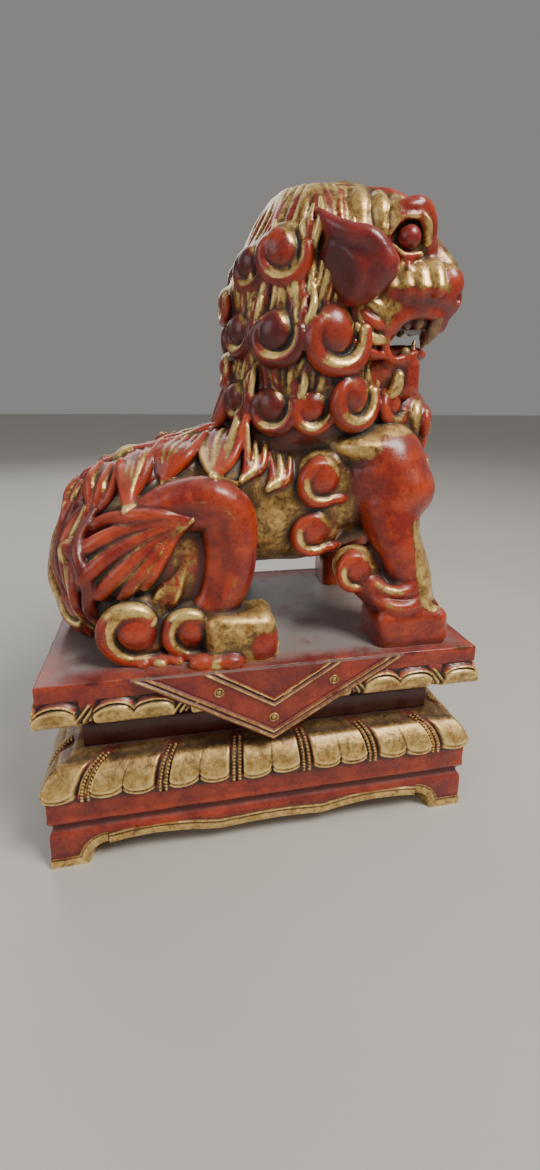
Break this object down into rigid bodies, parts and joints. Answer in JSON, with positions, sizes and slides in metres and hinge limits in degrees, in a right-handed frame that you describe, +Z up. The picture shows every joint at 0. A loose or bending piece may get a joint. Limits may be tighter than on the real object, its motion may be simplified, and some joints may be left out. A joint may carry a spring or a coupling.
{
  "type": "carved guardian lion statue",
  "caption": "Seated guardian lion carved in wood, lacquered red and gilded, with curled mane and open mouth, on a stepped plinth with petal moulding and bracket feet.",
  "frame": {"origin": "middle of the plinth's footprint, on the surface the feet stand on", "axes": "+Z up; +X the way the lion's body faces; -Y the lion's right flank"},
  "size_m": [0.263, 0.164, 0.3896],
  "materials": {
    "red_lacquer": "gloss lacquer, worn",
    "dark_lacquer": "gloss lacquer, dusty",
    "maroon_lacquer": "gloss lacquer",
    "red_carving": "gloss lacquer over carving, gilt on the crests",
    "gilt": "worn gilding over lacquer",
    "gilt_over_red": "mottled gilding over dark lacquer",
    "tooth_gilt": "gilding",
    "bare_wood": "unfinished",
    "steel": "plain"
  },
  "bodies": {
    "root": {"foot_head_right": "gilt", "foot_head_left": "gilt", "foot_tail_right": "gilt", "foot_tail_left": "gilt", "apron_right": "gilt", "apron_left": "gilt", "apron_head_end": "gilt", "apron_tail_end": "gilt", "frieze_right": "red_lacquer", "frieze_left": "red_lacquer", "frieze_head_end": "red_lacquer", "frieze_tail_end": "red_lacquer", "petal_moulding_right": "gilt", "petal_moulding_left": "gilt", "petal_moulding_head_end": "gilt", "petal_moulding_tail_end": "gilt", "glue_blocks": "bare_wood", "lower_deck": "red_lacquer", "waist_step": "dark_lacquer", "waist_neck": "dark_lacquer", "plinth_screws": "steel", "slab": "red_lacquer", "border_right": "gilt", "border_left": "gilt", "border_head_end": "gilt", "border_tail_end": "gilt", "pendant_right": "red_lacquer", "pendant_left": "red_lacquer", "pendant_studs": "gilt", "paw_dowels": "bare_wood", "torso": "gilt_over_red", "back_crest": "red_carving", "tail": "red_carving", "haunch_right": "gilt_over_red", "haunch_left": "gilt_over_red", "hind_paw_right": "gilt_over_red", "hind_paw_left": "gilt_over_red", "hock_curls_right": "red_carving", "hock_curls_left": "red_carving", "foreleg_right": "red_carving", "foreleg_left": "red_carving", "elbow_curls_right": "red_carving", "elbow_curls_left": "red_carving", "chest_curls": "red_carving", "mane": "gilt_over_red", "mane_curls_right": "red_carving", "mane_curls_left": "red_carving", "head": "gilt_over_red", "lower_jaw": "red_carving", "teeth": "tooth_gilt", "ear_right": "maroon_lacquer", "ear_left": "maroon_lacquer", "eye_right": "maroon_lacquer", "eye_left": "maroon_lacquer"}
  },
  "joints": []
}
